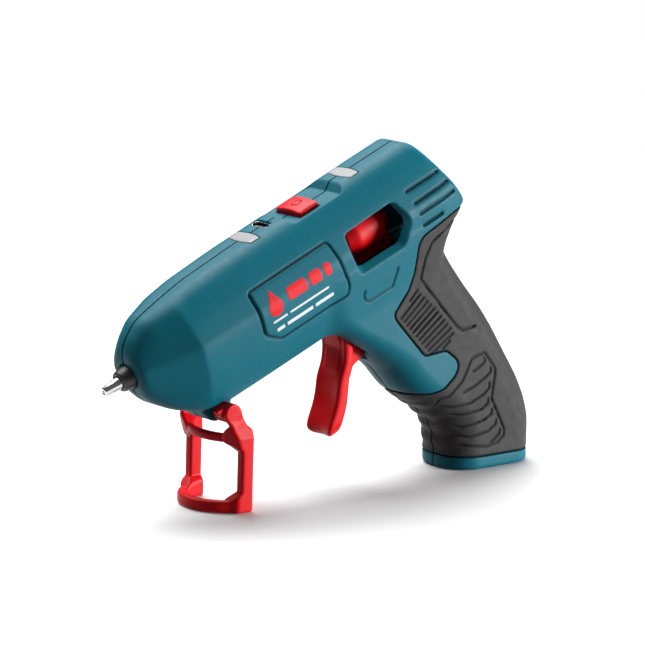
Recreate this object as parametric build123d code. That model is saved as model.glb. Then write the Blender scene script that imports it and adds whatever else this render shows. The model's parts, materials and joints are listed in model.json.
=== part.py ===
from build123d import *
import os
from math import cos, radians, sin, tan

# Cordless trigger-fed glue gun, standing on its foot ring and its folding stand.
#
# Every piece is drawn in the tool's own frame: x runs back from the nozzle tip along the
# feed axis, z is up from that axis, and the left side is at negative y. place() then tips the
# tool nose down and puts the centre of the foot on the world origin, with +Z up.

# --- driving dimensions, mm and degrees -----------------------------------------------
NOSE_DOWN = 23.2            # the feed axis points this far below level
FOOT_X, FOOT_Z = 143.04, -111.78   # centre of the flat foot in the tool frame
FOOT_RING = 5.0             # height of the bare ring at the bottom of the handle
WALL = 2.2                  # housing wall
RUBBER = 1.5                # overmould thickness
STICK_BORE = 7.8            # inlet for 7 mm sticks

PIVOT_X, PIVOT_Z = 102.0, -27.0    # trigger pin
ARM_LENGTH = 18.5           # trigger pin to feed pin
TRIGGER_SWING = 20.0        # degrees
FEED_TRAVEL = 2 * ARM_LENGTH * tan(radians(TRIGGER_SWING / 2))
FEED_PIN_X = PIVOT_X + ARM_LENGTH * tan(radians(TRIGGER_SWING / 2))
FEED_PIN_Z = PIVOT_Z + ARM_LENGTH

STAND_X, STAND_Z = 38.4, -27.7     # stand pin
STAND_HALF = 17.0           # half width over the legs
PIN_R = 1.5                 # trigger and stand pins
RUN_CLEAR = 0.05            # radial clearance where a part turns on a pin

BUTTON_X, BUTTON_LONG, BUTTON_HALF = 100.8, 9.2, 7.0
BUTTON_TOP, BUTTON_TRAVEL = 22.3, 0.8
RECESS_Z = 19.9             # floor of the recess round the button
BOARD_TOP = 14.0            # upper face of the control board
LENS_X = {"front_lens": 75.0, "rear_lens": 124.4}
LENS_LONG, LENS_HALF = 5.4, 6.5
USB_X, USB_Y = 84.8, 1.8
SCREWS = [(50, -20.0), (76, -20.0), (146, 13.5), (118, -52), (153, -50), (133, -95)]
SCREW_SEAT = 6.0            # y where the screw heads bear

OUTLINE_DEPTH = 60.0        # more than any half width, for cuts right through


# --- helpers --------------------------------------------------------------------------
def place(shape):
    """Move a shape from the tool frame to the world frame."""
    tip = radians(NOSE_DOWN)
    dx = FOOT_X * cos(tip) - FOOT_Z * sin(tip)
    dz = FOOT_X * sin(tip) + FOOT_Z * cos(tip)
    return Pos(-dx, 0, -dz) * Rot(0, -NOSE_DOWN, 0) * shape


def save(shape, node):
    """Write one node's STEP file in the world frame."""
    solids = shape.solids() if hasattr(shape, "solids") else ShapeList(shape).solids()
    moved = [place(solid) for solid in solids]
    for solid in moved:
        solid.label = node
    whole = moved[0] if len(moved) == 1 else Compound(children=moved, label=node)
    export_step(whole, f"parts/{node}.step")


def side_slab(points, y_from, y_to, round_at=0.0, inset=0.0):
    """Extrude a side outline given as (x, z) points between two y positions."""
    face = Polygon(*points, align=None)
    if round_at:
        face = fillet(face.vertices(), round_at)
    if inset:
        face = offset(face, -inset)
    return Pos(0, y_from, 0) * extrude(Plane.XZ * face, y_to - y_from, dir=(0, 1, 0))


def block(x0, x1, y0, y1, z0, z1):
    """Box given by its limits."""
    return Pos((x0 + x1) / 2, (y0 + y1) / 2, (z0 + z1) / 2) * Box(x1 - x0, y1 - y0, z1 - z0)


def rod_x(radius, x0, x1, z=0.0, y=0.0):
    """Cylinder along the feed direction."""
    return Pos((x0 + x1) / 2, y, z) * Rot(0, 90, 0) * Cylinder(radius, x1 - x0)


def rod_y(radius, x, z, y0, y1):
    """Cylinder across the tool."""
    return Pos(x, (y0 + y1) / 2, z) * Rot(90, 0, 0) * Cylinder(radius, y1 - y0)


def rod_z(radius, x, y, z0, z1):
    """Upright cylinder."""
    return Pos(x, y, (z0 + z1) / 2) * Cylinder(radius, z1 - z0)


def cone_x(r0, r1, x0, x1):
    """Cone along the feed direction, radius r0 at x0 and r1 at x1."""
    return Pos((x0 + x1) / 2, 0, 0) * Rot(0, 90, 0) * Cone(r0, r1, x1 - x0)


def wire_tube(points, radius):
    """Round lead along straight runs joined by arcs as large as the runs allow."""
    runs = [(Vector(b) - Vector(a)) for a, b in zip(points, points[1:])]
    radii = [0.45 * min(a.length, b.length) / tan(radians(a.get_angle(b)) / 2)
             for a, b in zip(runs, runs[1:])]
    path = FilletPolyline(*points, radius=radii)
    section = Plane(origin=points[0], z_dir=runs[0]) * Circle(radius)
    return sweep(section, path=path)


# --- outer form -----------------------------------------------------------------------
BARREL_SIDE = [(11.6, -5), (14.5, -12), (21.5, -18.5), (30, -23.5), (38, -25.8), (112, -25.8),
               (157, -17), (161.5, -12), (150, 22.9), (131, 22.7), (66, 21.8), (44, 20.9),
               (33, 19.4), (21.4, 17.4), (14.5, 12.8), (11.6, 7)]
BARREL_PLAN = [(11.6, -7.5), (33, -18), (60, -19), (152, -19), (162, -14),
               (162, 14), (152, 19), (60, 19), (33, 18), (11.6, 7.5)]
BARREL_SECTION = [(7.5, 22.9), (11.4, 19.6), (15.4, 12.6), (18, 6), (19, 2), (18.4, -4),
                  (16.4, -12), (13.2, -20), (9.5, -25.8)]

# handle stations: z, front x, rear x, half width, corner radius
HANDLE = [(-10, 92, 157, 15.5, 7), (-22, 91, 154.5, 14.6, 8), (-30, 95.5, 155, 14.2, 9),
          (-41, 103.4, 158, 13.8, 11), (-52, 110.5, 162, 13.6, 12),
          (-62, 113.9, 164.7, 13.8, 12.5), (-70, 118, 166.3, 14, 13),
          (-76, 123, 167.4, 14.1, 13), (-86, 128.2, 169.3, 14.2, 13), (-95, 127, 170, 14.2, 13),
          (-103, 124, 169.4, 14, 13), (-122, 116, 161.5, 14, 13)]


def barrel(inset=0.0):
    """Barrel form: side, plan and section outlines cut to one solid."""
    side = side_slab(BARREL_SIDE, -OUTLINE_DEPTH, OUTLINE_DEPTH, inset=inset)
    plan = offset(Polygon(*BARREL_PLAN, align=None), -inset) if inset else Polygon(*BARREL_PLAN, align=None)
    plan = Pos(0, 0, -OUTLINE_DEPTH) * extrude(plan, 2 * OUTLINE_DEPTH, dir=(0, 0, 1))
    half = BARREL_SECTION + [(-y, z) for y, z in reversed(BARREL_SECTION)]
    section = Polygon(*half, align=None)
    if inset:
        section = offset(section, -inset)
    section = extrude(Plane.YZ * section, 200, dir=(1, 0, 0))
    return side & plan & section


def handle(inset=0.0):
    """Handle form, lofted through rounded sections."""
    sections = [Pos((front + rear) / 2, 0, z) * RectangleRounded(rear - front - 2 * inset,
                2 * (half - inset), min(corner, half - 0.4) - inset)
                for z, front, rear, half, corner in HANDLE]
    return loft(sections, ruled=True)


def below_foot(height):
    """Space lower than the given height above the flat foot."""
    space = Pos(0, 0, height - 20) * Box(100, 80, 40)
    return Pos(FOOT_X, 0, FOOT_Z) * Rot(0, NOSE_DOWN, 0) * space


def body_form(inset=0.0, foot_inset=0.0):
    """Barrel and handle together, cut off level at the foot."""
    return (barrel(inset) + handle(inset)) - below_foot(foot_inset)


RUBBER_OUTLINE = [(180, -6.5), (148, -7.4), (137.5, -8.3), (135, -10.4), (131, -20.5), (127.2, -25.6),
                  (117.8, -31), (117.8, -33.4), (125.7, -53.4), (135.7, -56.5), (139.1, -62.2),
                  (138.9, -65.4), (135.9, -67.9), (129.1, -69.8), (123.8, -69.2), (117.3, -66.1),
                  (108, -60), (95, -60), (95, -160), (180, -160)]
REAR_SPINE_HALF = 3.0       # bare strip down the back of the handle


def rubber_skin():
    """Overmould on both sides of the handle, above the foot ring."""
    skin = body_form(foot_inset=FOOT_RING) & side_slab(RUBBER_OUTLINE, -OUTLINE_DEPTH, OUTLINE_DEPTH)
    skin -= body_form(RUBBER)
    spine = side_slab([(150, -72), (180, -72), (180, -130), (150, -130)], -REAR_SPINE_HALF, REAR_SPINE_HALF)
    return skin - spine


WINDOW = [(106, 9.0), (129.7, 9.7), (131.1, 2.8), (126.8, -4.8), (107.2, -4.3)]
WINDOW_BEVEL = [(103.5, 10.4), (131.8, 11.3), (134.0, -1.0), (129.0, -8.3), (106, -8.3)]
WINDOW_BEVEL_Y = 17.4
TRIGGER_SLOT = [(87, -20), (113, -20), (116, -34), (114.5, -45.5), (104, -45.5), (104, -70), (87, -70)]
TRIGGER_SLOT_HALF = 8.2
BOSS_POCKET_R = 4.3


def housing():
    """Whole housing shell with its ribs and posts, before it is split."""
    cavity = barrel(WALL) + handle(RUBBER + WALL) - below_foot(WALL + 0.6)
    shell = body_form() - cavity
    shell += housing_ribs(cavity) + housing_posts() + hinge_lug() + guide_rails(cavity)
    return shell - housing_cuts()


LEAD_NOTCH = block(57, 60.4, -4.8, 4.8, 9.0, 15.0)   # the heater leads pass the rear mount here


def housing_ribs(cavity):
    """Cross ribs that hold the two chamber mounts and the collar."""
    ribs = []
    for x0, x1, hole in ((17.2, 19.2, 5.7), (30.2, 33.2, 12.0), (57.2, 60.2, 12.0)):
        ribs.append((cavity & block(x0, x1, -30, 30, -24, 30)) - rod_x(hole, x0 - 1, x1 + 1))
    return Part() + ribs - LEAD_NOTCH


SCREW_R, SCREW_HEAD_R, HEAD_HIGH = 1.4, 2.7, 2.2
SCREW_HOLE_R, HEAD_HOLE_R = 1.45, 3.1
PIN_POST_R, PIN_POST_IN = 3.4, 5.0     # posts that carry the trigger pin, clear of the hub
POST_REACH = 16.0                      # past the outer form, which then trims them


def housing_posts():
    """Screw posts, trigger pin posts, board standoffs, spring anchor and recess floor."""
    posts = [rod_y(3.3, x, z, -POST_REACH, 0) + rod_y(4.2, x, z, 0, POST_REACH) for x, z in SCREWS]
    for side in (-1, 1):
        posts.append(rod_y(PIN_POST_R, PIVOT_X, PIVOT_Z, *sorted((side * PIN_POST_IN, side * 14))))
        posts += [rod_z(1.4, x, side * 5.6, BOARD_TOP, 21) for x in (71, 128.2)]
    spring_anchor = block(149, 153.3, -8, 8, -24, -8.4)
    recess_floor = block(88.5, 120, -10.5, 10.5, RECESS_Z - 2, RECESS_Z)
    return (Part() + posts + [spring_anchor, recess_floor]) & body_form(0.8)


def hinge_lug():
    """Block under the nose that carries the stand pin."""
    lug = side_slab([(30, -22), (47, -22), (42.5, -30.5), (38.4, -31.7), (34.2, -30)], -6.7, 6.7)
    return lug - rod_y(PIN_R, STAND_X, STAND_Z, -8, 8)


def guide_rails(cavity):
    """L rails that the carriage keel slides between."""
    rails = []
    for side in (-1, 1):
        upright = block(100, 142, *sorted((side * 3.3, side * 5.0)), -14, -9.8)
        web = block(117, 136, *sorted((side * 5.0, side * 18.0)), -14, -12.4)
        rails.append((upright + web) & cavity)
    return Part() + rails


def housing_cuts():
    """Openings through the shell."""
    cuts = [rod_x(4.75, 8, 18), rod_x(5.6, 147, 170), rod_x(8.2, 152.2, 170)]
    cuts.append(side_slab(WINDOW, -OUTLINE_DEPTH, OUTLINE_DEPTH)
                - block(100, 140, -16.4, 16.4, -10, 12)
                + side_slab(WINDOW, -16.5, -9.5) + side_slab(WINDOW, 9.5, 16.5))
    for side in (-1, 1):
        cuts.append(side_slab(WINDOW_BEVEL, *sorted((side * WINDOW_BEVEL_Y, side * 30))))
        cuts.append(rod_y(BOSS_POCKET_R, STAND_X, STAND_Z, *sorted((side * 6.9, side * 30))))
    cuts.append(side_slab(TRIGGER_SLOT, -TRIGGER_SLOT_HALF, TRIGGER_SLOT_HALF)
                - rod_y(PIN_POST_R, PIVOT_X, PIVOT_Z, PIN_POST_IN, 14)
                - rod_y(PIN_POST_R, PIVOT_X, PIVOT_Z, -14, -PIN_POST_IN))
    cuts.append(rod_y(PIN_R, PIVOT_X, PIVOT_Z, -11, 11))
    cuts.append(block(90.5, 118, -8.6, 8.6, RECESS_Z, 30))
    cuts.append(block(BUTTON_X - BUTTON_LONG / 2 - 0.2, BUTTON_X + BUTTON_LONG / 2 + 0.2,
                      -BUTTON_HALF - 0.2, BUTTON_HALF + 0.2, 16, 30))
    for x in LENS_X.values():
        cuts.append(block(x - LENS_LONG / 2, x + LENS_LONG / 2, -LENS_HALF, LENS_HALF, 15, 30))
    cuts.append(block(USB_X - 1.85, USB_X + 1.85, USB_Y - 4.75, USB_Y + 4.75, 15, 30))
    for x, z in SCREWS:
        cuts += [rod_y(SCREW_HOLE_R, x, z, -6, 7), rod_y(HEAD_HOLE_R, x, z, SCREW_SEAT, 30)]
    return Part() + cuts


def save_housing():
    """Split the shell and the overmould along the middle and write the four pieces."""
    skin = rubber_skin()
    shell = housing() - skin
    holes = Part() + [rod_y(HEAD_HOLE_R, x, z, 1, 30) for x, z in SCREWS]
    for side, y0, y1 in (("left", -60, 0), ("right", 0, 60)):
        half = block(-50, 250, y0, y1, -200, 100)
        save(shell & half, f"{side}_housing")
        save((skin & half) - holes, f"{side}_grip")


# --- hot end ----------------------------------------------------------------------------
CHAMBER_FRONT, CHAMBER_REAR, CHAMBER_R = 27.0, 62.0, 8.0


def save_hot_end():
    """Nozzle, its drip stop, the melt chamber and what heats and holds it."""
    collar = cone_x(3.7, 4.6, 7.1, 12.1) + rod_x(4.6, 12.1, 14.2) + rod_x(5.5, 14.2, 20)
    save(collar - rod_x(2.45, 0, 30), "nozzle_collar")

    nozzle = cone_x(1.7, 2.35, 0, 7) + rod_x(2.35, 7, 21) + rod_x(5, 21, 26.8) + rod_x(3, 26.8, 34)
    bore = rod_x(0.8, -1, 5) + cone_x(0.8, 1.6, 5, 6.5) + rod_x(1.6, 6.5, 40)
    save(nozzle - bore, "nozzle")
    save(Pos(7.6, 0, 0) * Sphere(1.3), "nozzle_ball")
    save(rod_x(1.3, 9, 20) - rod_x(0.9, 8, 21), "nozzle_spring")

    chamber = rod_x(CHAMBER_R, CHAMBER_FRONT, CHAMBER_REAR) + rod_x(5, CHAMBER_REAR, 68)
    chamber -= rod_x(3.0, 20, 36) + rod_x(3.8, 36, 70) + block(36, 55, -5, 5, 7.0, 9)
    save(chamber, "melt_chamber")
    save(block(37, 54, -4, 4, 7.0, 9.2), "ptc_heater")
    clip = rod_x(9.2, 42, 49) - rod_x(8.2, 41, 50) - block(40, 52, -20, 20, 6.6, 20)
    clip += block(42, 49, -5.5, 5.5, 9.2, 10.2)
    clip += block(42, 49, -5.5, -4.6, 6.6, 9.2) + block(42, 49, 4.6, 5.5, 6.6, 9.2)
    save(clip, "heater_clip")
    for node, x0 in (("front_chamber_mount", 30.2), ("rear_chamber_mount", 57.2)):
        save(rod_x(12.0, x0, x0 + 3) - rod_x(CHAMBER_R, x0 - 1, x0 + 4) - LEAD_NOTCH, node)
    save(rod_x(6.8, 62.2, 84) - rod_x(5.0, 60, 68.2) - rod_x(3.9, 68, 86), "stick_sleeve")
    save(rod_x(7.6, 64, 66) - rod_x(6.8, 63, 67) + block(64, 66, -1.5, 1.5, -10, -7.4), "sleeve_clamp")


# --- feed -------------------------------------------------------------------------------
JAW_X, JAW_Z = 128.0, -6.6         # jaw pin
SMALL_PIN_R = 1.2                  # feed pin and jaw pin
SPRING_Z = -10.6
FLANGE = [(98.2, -30.6), (97.2, -36), (94.8, -41), (90.2, -46), (87.6, -51), (84.6, -55), (80.4, -59.2),
          (78.8, -62), (80.0, -65), (83, -65.3), (87.2, -60.6), (91, -56), (93.6, -51), (96.2, -46),
          (99.6, -41.5), (101.5, -36.4), (102.2, -33.2)]
WEB = [(98, -27), (106, -27), (108.5, -36), (106.2, -43.9), (100.2, -45.2), (98.0, -48.0),
       (94.5, -51.1), (90, -50.5), (93, -43), (97.5, -36)]


def save_trigger():
    """Trigger with its finger flange, web, hub and slotted arm, and its pin."""
    hub = rod_y(4.8, PIVOT_X, PIVOT_Z, -4.7, 4.7)
    body = side_slab(FLANGE, -7.5, 7.5, round_at=0.8) + side_slab(WEB, -4.5, 4.5) + hub
    lean = radians(TRIGGER_SWING / 2)
    across, along = Vector(cos(lean), 0, -sin(lean)), Vector(sin(lean), 0, cos(lean))
    pivot = Vector(PIVOT_X, 0, PIVOT_Z)
    reach = ARM_LENGTH / cos(lean)
    corners = [pivot + across * a + along * b for a, b in ((-3.4, 0), (3.4, 0), (3.4, reach), (-3.4, reach))]
    arm = side_slab([(p.X, p.Z) for p in corners], -1.5, 1.5)
    arm += rod_y(3.4, FEED_PIN_X, FEED_PIN_Z, -1.5, 1.5)
    slot = [pivot + across * a + along * b for a, b in
            ((-1.55, reach - 1.6), (1.55, reach - 1.6), (1.55, reach + 1.2), (-1.55, reach + 1.2))]
    cut = side_slab([(p.X, p.Z) for p in slot], -2, 2)
    for step in (-1.6, 1.2):
        end = pivot + along * (reach + step)
        cut += rod_y(1.55, end.X, end.Z, -2, 2)
    trigger = body + arm - cut - rod_y(PIN_R + RUN_CLEAR, PIVOT_X, PIVOT_Z, -9, 9)
    save(trigger, "trigger")
    save(rod_y(PIN_R, PIVOT_X, PIVOT_Z, -11, 11), "trigger_pin")


def save_carriage():
    """Feed carriage with its keel and pin, its jaw, and the spring that returns it."""
    body = cone_x(7.0, 9.0, 110, 112.5) + rod_x(9.0, 112.5, 134) + block(101.4, 134, -3, 3, -11.6, -5.8)
    body -= rod_x(4.1, 90, 140) + block(100, 110, -1.9, 1.9, -14, -4) + block(118, 136, -2.2, 2.2, -14, -3)
    body -= rod_y(SMALL_PIN_R, FEED_PIN_X, FEED_PIN_Z, -4, 4) + rod_y(SMALL_PIN_R, JAW_X, JAW_Z, -12, 12)
    save(body, "feed_carriage")
    save(rod_y(SMALL_PIN_R, FEED_PIN_X, FEED_PIN_Z, -3, 3), "feed_pin")
    save(rod_y(SMALL_PIN_R, JAW_X, JAW_Z, -5.5, 5.5), "jaw_pin")
    toothed = [(119.5, -9.2), (119.5, -4.2), (121, -5), (122, -4.2), (123, -5), (124, -4.2), (126, -4.6),
               (130.5, -4.8), (130.5, -9.2)]
    jaw = side_slab(toothed, -1.9, 1.9)
    save(jaw - rod_y(SMALL_PIN_R + RUN_CLEAR, JAW_X, JAW_Z, -3, 3), "clamp_jaw")
    save(rod_x(2.0, 134, 149, z=SPRING_Z) - rod_x(1.4, 133, 150, z=SPRING_Z), "return_spring")
    inlet = rod_x(5.5, 147.5, 156.5) + rod_x(8.1, 152.4, 154.4) - rod_x(STICK_BORE / 2, 140, 170)
    save(inlet, "rear_inlet")


# --- electrics --------------------------------------------------------------------------
CELL_TOP, CELL_BOTTOM = (134.6, -38.0), (149.0, -101.4)


def save_electrics():
    """Button, socket, lights, board, cell and internal leads."""
    cap = block(BUTTON_X - BUTTON_LONG / 2, BUTTON_X + BUTTON_LONG / 2, -BUTTON_HALF, BUTTON_HALF,
                17.2, BUTTON_TOP)
    stem = block(BUTTON_X - 1.5, BUTTON_X + 1.5, -1.5, 1.5, 16.4 + BUTTON_TRAVEL / 2, 17.4)
    save(cap + stem, "power_button")
    save(block(BUTTON_X - 3, BUTTON_X + 3, -3, 3, BOARD_TOP, 15.9), "button_switch")
    shell = block(USB_X - 1.6, USB_X + 1.6, USB_Y - 4.47, USB_Y + 4.47, BOARD_TOP, 21.4)
    shell = fillet(shell.edges().filter_by(Axis.Z), 1.5)
    hollow = block(USB_X - 1.3, USB_X + 1.3, USB_Y - 4.17, USB_Y + 4.17, BOARD_TOP + 0.6, 22)
    save(shell - fillet(hollow.edges().filter_by(Axis.Z), 1.2), "usb_shell")
    save(block(USB_X - 0.35, USB_X + 0.35, USB_Y - 3.3, USB_Y + 3.3, BOARD_TOP + 0.6, 20.6), "usb_tongue")
    for node, x in LENS_X.items():
        save(block(x - LENS_LONG / 2, x + LENS_LONG / 2, -LENS_HALF, LENS_HALF, 17, 22.4), node)
    leds = [block(x - 1.4, x + 1.4, y - 1.4, y + 1.4, BOARD_TOP, 15.6)
            for x in LENS_X.values() for y in (-3.5, 3.5)]
    save(Compound(children=leds), "status_leds")
    save(block(69, 130.4, -7.2, 7.2, BOARD_TOP - 1.6, BOARD_TOP), "control_board")

    lean = Vector(CELL_BOTTOM[0] - CELL_TOP[0], 0, CELL_BOTTOM[1] - CELL_TOP[1])
    top = Plane(origin=(CELL_TOP[0], 0, CELL_TOP[1]), z_dir=lean)
    save(extrude(top * Circle(9.15), 65), "battery_cell")
    tabs = [extrude(top.offset(d) * Rectangle(9, 7), 0.3) for d in (-0.3, 65.0)]
    save(Compound(children=tabs), "battery_tabs")
    rings = [extrude(top.offset(d) * (Circle(9.9) - Circle(9.15)), 4) for d in (6, 28, 47)]
    save(Compound(children=rings), "battery_cradle")
    start = top.offset(-1.6).origin
    battery, heater = [], []
    for side in (-1, 1):
        route = [(start.X, side * 2.5, start.Z), (136.2, side * 6.5, -32), (139, side * 8.2, -24.5),
                 (139.8, side * 8.8, -16), (140, side * 9.0, -7), (139.4, side * 8.4, 2), (136.6, side * 6.6, 9),
                 (130.8, side * 4.2, 12.9)]
        battery.append(wire_tube(route, 0.7))
        route = [(68.6, side * 3.5, 13.1), (64.5, side * 3.6, 13.4), (60.5, side * 3.2, 12.6),
                 (57.4, side * 2.6, 10.6), (54.4, side * 2.2, 8.4)]
        heater.append(wire_tube(route, 0.5))
    save(Compound(children=battery), "battery_leads")
    save(Compound(children=heater), "heater_leads")


# --- stand ------------------------------------------------------------------------------
LEG_FRONT, LEG_REAR, LEG_WIDE = 2.9, 8.2, 3.6
BOSS_R, BOSS_IN, BOSS_OUT = 3.6, 7.0, 14.6
UPPER_BAR = {"bottom": -11.0, "height": 3.2, "reach": 4.2, "depth": 3.0}   # reach ahead of the pin
LOWER_BAR = {"height": 4.2, "reach": 8.8, "depth": 3.6}                    # it stands on the floor


def arc_bar(bottom, height, reach, depth):
    """Cross bar that bows forward from leg to leg."""
    inner = STAND_HALF - 0.6
    out = ThreePointArc((LEG_FRONT + 1.2, -inner), (-reach, 0), (LEG_FRONT + 1.2, inner))
    back = ThreePointArc((LEG_FRONT + 1.2, inner - depth), (-reach + depth, 0),
                         (LEG_FRONT + 1.2, -inner + depth))
    outline = Wire([out, Line(out @ 1, back @ 0), back, Line(back @ 1, out @ 0)])
    return Pos(0, 0, bottom) * extrude(make_face(outline), height, dir=(0, 0, 1))


def save_stand():
    """Folding stand, drawn upright about its pin, and the pin."""
    tip = radians(NOSE_DOWN)
    foot = ((STAND_X - FOOT_X) * sin(tip) + (STAND_Z - FOOT_Z) * cos(tip))
    legs = []
    for side in (-1, 1):
        outer, inner = side * STAND_HALF, side * (STAND_HALF - LEG_WIDE)
        leg = block(LEG_FRONT, LEG_REAR, *sorted((outer, inner)), -foot, -8.5)
        neck = Polygon((LEG_FRONT, -12), (LEG_REAR, -12), (LEG_REAR, -8.5), (3.2, 1.6), (-2.4, -2.6), align=None)
        neck = Pos(0, min(outer, side * 13.2), 0) * extrude(Plane.XZ * neck, STAND_HALF - 13.2, dir=(0, 1, 0))
        boss = rod_y(BOSS_R, 0, 0, *sorted((side * BOSS_IN, side * BOSS_OUT)))
        bridge = rod_y(BOSS_R, 0, 0, *sorted((side * 13.2, side * 15.4)))
        legs += [leg, neck, boss, bridge]
    bars = [arc_bar(**UPPER_BAR), arc_bar(bottom=-foot, **LOWER_BAR)]
    frame = Part() + legs + bars
    frame -= rod_y(PIN_R + RUN_CLEAR, 0, 0, -13.0, 13.0)
    upright = Pos(STAND_X, 0, STAND_Z) * Rot(0, NOSE_DOWN, 0) * frame
    save(upright, "stand")
    save(rod_y(PIN_R, STAND_X, STAND_Z, -12.8, 12.8), "stand_pin")
    print("stand pin is", round(foot, 3), "above the foot plane")


def save_screws():
    """Six self tapping screws, set in from the right side."""
    screws = []
    for x, z in SCREWS:
        head = rod_y(SCREW_HEAD_R, x, z, SCREW_SEAT, SCREW_SEAT + HEAD_HIGH)
        screws.append(head + rod_y(SCREW_R, x, z, -5.5, SCREW_SEAT))
    save(Compound(children=screws), "housing_screws")


save_housing()
save_hot_end()
save_trigger()
save_carriage()
save_electrics()
save_stand()
save_screws()
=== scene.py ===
import json
from math import cos, pi, radians, sin

import bpy
import numpy as np
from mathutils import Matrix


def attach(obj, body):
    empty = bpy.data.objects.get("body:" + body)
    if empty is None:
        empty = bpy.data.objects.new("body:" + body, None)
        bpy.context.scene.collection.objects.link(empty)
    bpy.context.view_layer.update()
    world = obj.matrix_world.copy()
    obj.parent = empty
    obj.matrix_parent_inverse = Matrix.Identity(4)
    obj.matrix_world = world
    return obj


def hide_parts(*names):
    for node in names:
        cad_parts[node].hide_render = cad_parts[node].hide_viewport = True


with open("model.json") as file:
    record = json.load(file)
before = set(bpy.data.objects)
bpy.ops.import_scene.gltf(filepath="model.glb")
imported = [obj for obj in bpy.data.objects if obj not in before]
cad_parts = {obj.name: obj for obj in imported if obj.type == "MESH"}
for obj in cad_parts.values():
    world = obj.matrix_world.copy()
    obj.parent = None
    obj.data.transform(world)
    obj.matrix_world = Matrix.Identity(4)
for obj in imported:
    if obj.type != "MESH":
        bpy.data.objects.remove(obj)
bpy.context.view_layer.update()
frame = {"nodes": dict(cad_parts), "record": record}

import openvdb
from mathutils import Matrix, Vector

# Looks of the cordless glue gun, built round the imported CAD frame.
#
# The moulded pieces are drawn as distance fields in the tool's own frame, in millimetres: x runs
# back from the nozzle tip along the feed axis, z is up from that axis, left is negative y. Each
# field is turned into a mesh and moved to the frame's coordinates, in metres.

NOSE_DOWN = radians(23.2)
SHIFT_X, SHIFT_Z = -175.50, 46.39      # nozzle tip in the frame, mm
MM = 0.001


def to_frame(points):
    """Tool millimetres to frame metres, one point a row."""
    x, y, z = np.asarray(points, float).T
    return np.stack([x * cos(NOSE_DOWN) - z * sin(NOSE_DOWN) + SHIFT_X, y,
                     x * sin(NOSE_DOWN) + z * cos(NOSE_DOWN) + SHIFT_Z], axis=1) * MM


# --- distance fields ---------------------------------------------------------------------
class Grid:
    """Regular grid of sample points between two corners."""

    def __init__(self, low, high, step):
        self.low, self.step = np.array(low, float), step
        axes = [np.arange(a, b + step, step, dtype=np.float32) for a, b in zip(low, high)]
        self.x, self.y, self.z = axes[0][:, None, None], axes[1][None, :, None], axes[2][None, None, :]
        self.shape = tuple(len(a) for a in axes)


def low_of(a, b, blend=0.0):
    """Union of two fields, with a fillet of about the blend length."""
    if not blend:
        return np.minimum(a, b)
    over = np.maximum(blend - np.abs(a - b), 0) / blend
    return np.minimum(a, b) - over * over * blend * 0.25


def high_of(a, b, blend=0.0):
    """Overlap of two fields, with a rounded edge of about the blend length."""
    if not blend:
        return np.maximum(a, b)
    over = np.maximum(blend - np.abs(a - b), 0) / blend
    return np.maximum(a, b) + over * over * blend * 0.25


def cut(a, b, blend=0.0):
    """Field a with field b taken out of it."""
    return high_of(a, -b, blend)


def rounded(points, radius, steps=5):
    """Outline with each corner replaced by a curve."""
    points = [np.array(p, float) for p in points]
    out = []
    for before, here, after in zip(points[-1:] + points[:-1], points, points[1:] + points[:1]):
        arms = []
        for other in (before, after):
            arm = other - here
            length = np.hypot(*arm)
            arms.append(here + arm / length * min(radius, length * 0.49))
        for k in range(steps + 1):
            t = k / steps
            out.append((1 - t) ** 2 * arms[0] + 2 * t * (1 - t) * here + t * t * arms[1])
    return out


def line_distance(u, v, points, closed=False):
    """Distance to a run of straight lines."""
    points = [tuple(map(float, p)) for p in points]
    pairs = list(zip(points, points[1:]))
    if closed:
        pairs.append((points[-1], points[0]))
    best = np.full(np.broadcast(u, v).shape, 1e9, np.float32)
    for (ax, ay), (bx, by) in pairs:
        ex, ey = bx - ax, by - ay
        wx, wy = u - ax, v - ay
        t = np.clip((wx * ex + wy * ey) / max(ex * ex + ey * ey, 1e-9), 0, 1)
        best = np.minimum(best, (wx - t * ex) ** 2 + (wy - t * ey) ** 2)
    return np.sqrt(best)


def outline_distance(u, v, points):
    """Signed distance to a closed outline, negative inside."""
    points = [tuple(map(float, p)) for p in points]
    inside = np.zeros(np.broadcast(u, v).shape, bool)
    for (ax, ay), (bx, by) in zip(points, points[1:] + points[:1]):
        if ay != by:
            inside ^= ((v >= ay) != (v >= by)) & (u < (bx - ax) * (v - ay) / (by - ay) + ax)
    return np.where(inside, -1, 1) * line_distance(u, v, points, closed=True)


def box_distance(grid, x, y, z, edge=0.0):
    """Box given by its limits on each axis, with rounded edges."""
    gaps = []
    for values, (low, high) in zip((grid.x, grid.y, grid.z), (x, y, z)):
        gaps.append(np.abs(values - (low + high) / 2) - ((high - low) / 2 - edge))
    outside = sum(np.maximum(g, 0) ** 2 for g in gaps)
    inside = np.minimum(np.maximum(np.maximum(gaps[0], gaps[1]), gaps[2]), 0)
    return np.sqrt(outside) + inside - edge


def groove(distance, width, depth):
    """How far a soft V groove sinks a surface."""
    return depth * np.exp(-(distance / width) ** 2)


def eased(t):
    """Smooth step from 0 to 1."""
    t = np.clip(t, 0, 1)
    return t * t * (3 - 2 * t)


def profile(values, table, spread):
    """Smooth curve through a table of (position, value) rows."""
    at, to = np.array(sorted(table), float).T
    fine = np.arange(at[0] - 20, at[-1] + 20, 0.2)
    kernel = np.exp(-0.5 * (np.arange(-40, 41) * 0.2 / spread) ** 2)
    line = np.pad(np.interp(fine, at, to), 40, mode="edge")
    curve = np.convolve(line, kernel / kernel.sum(), mode="valid")
    return np.interp(values, fine, curve).astype(np.float32)


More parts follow.
